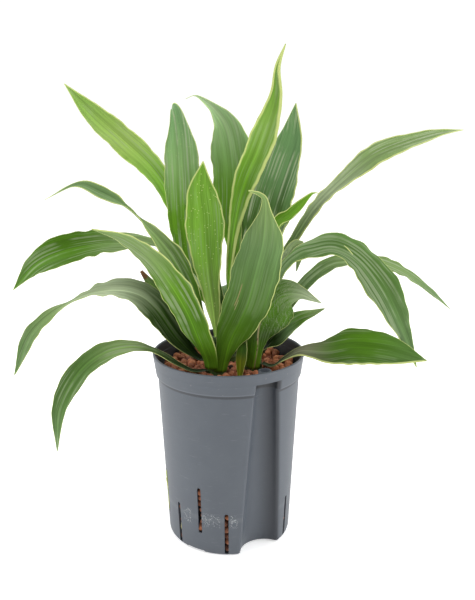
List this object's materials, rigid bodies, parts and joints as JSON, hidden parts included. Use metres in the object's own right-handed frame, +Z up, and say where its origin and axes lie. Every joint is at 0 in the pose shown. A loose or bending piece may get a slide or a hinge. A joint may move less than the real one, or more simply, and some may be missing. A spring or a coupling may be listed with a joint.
{
  "type": "potted dracaena",
  "caption": "Dracaena with arching, pale-margined leaves on short stems, rooted in clay granulate in a slotted hydroculture pot.",
  "frame": {"origin": "centre of the pot's flat base, on the surface that it stands on", "axes": "+Z up along the pot's axis, -Y towards the viewer of the picture, +X to the viewer's right"},
  "size_m": [0.442, 0.2807, 0.4782],
  "materials": {
    "pot_plastic": "matt blue-grey moulded plastic with a faint texture and traces of lime",
    "clay_granulate": "matt red-brown fired clay pebbles",
    "stem_skin": "green stem with leaf scars, satin",
    "leaf_blade": "waxy leaf with lengthwise veins and a pale margin"
  },
  "bodies": {
    "root": {"pot": "pot_plastic", "granulate": "clay_granulate", "stem_a": "stem_skin", "stem_b": "stem_skin", "stem_c": "stem_skin", "leaf_a1": "leaf_blade", "leaf_a2": "leaf_blade", "leaf_a3": "leaf_blade", "leaf_a4": "leaf_blade", "leaf_a5": "leaf_blade", "leaf_a6": "leaf_blade", "leaf_a7": "leaf_blade", "leaf_b1": "leaf_blade", "leaf_b2": "leaf_blade", "leaf_b3": "leaf_blade", "leaf_b4": "leaf_blade", "leaf_b5": "leaf_blade", "leaf_b6": "leaf_blade", "leaf_b7": "leaf_blade", "leaf_b8": "leaf_blade", "leaf_c1": "leaf_blade", "leaf_c2": "leaf_blade", "leaf_c3": "leaf_blade", "leaf_c4": "leaf_blade", "leaf_c5": "leaf_blade", "leaf_c6": "leaf_blade", "leaf_c7": "leaf_blade", "leaf_c8": "leaf_blade", "leaf_c9": "leaf_blade", "leaf_c10": "leaf_blade", "leaf_c11": "leaf_blade", "young_leaf": "leaf_blade"}
  },
  "joints": []
}
